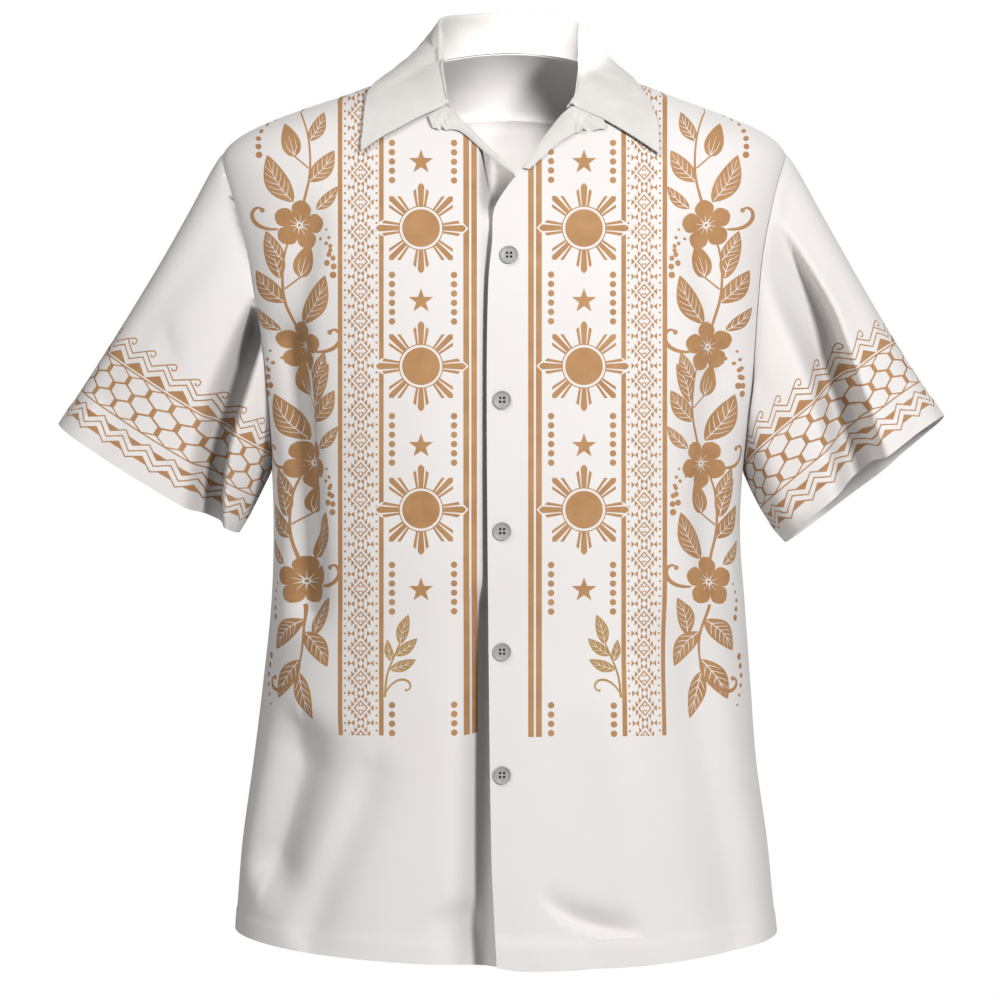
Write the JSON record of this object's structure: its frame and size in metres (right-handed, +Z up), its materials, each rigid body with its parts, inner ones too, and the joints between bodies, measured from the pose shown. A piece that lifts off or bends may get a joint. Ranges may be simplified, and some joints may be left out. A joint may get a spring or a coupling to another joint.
{
  "type": "short-sleeved shirt",
  "caption": "Short-sleeved camp shirt with an open notched collar, straight hem and buttoned front, filled out as if worn.",
  "frame": {"origin": "middle of the neck, level with the shoulder seams where they meet the collar, where a wearer or form holds the shirt", "axes": "+Z up along the body, +X to the wearer's left, the front faces -Y"},
  "size_m": [0.7064, 0.2703, 0.7494],
  "materials": {
    "cloth": "off-white plain weave with a copper-brown print",
    "button": "grey four-hole button with a raised rim"
  },
  "bodies": {
    "root": {"front_left": "cloth", "front_right": "cloth", "yoke": "cloth", "back": "cloth", "sleeve_left": "cloth", "sleeve_right": "cloth", "collar": "cloth", "lapel_left": "cloth", "lapel_right": "cloth", "button_1": "button", "button_2": "button", "button_3": "button", "button_4": "button", "button_5": "button"}
  },
  "joints": []
}
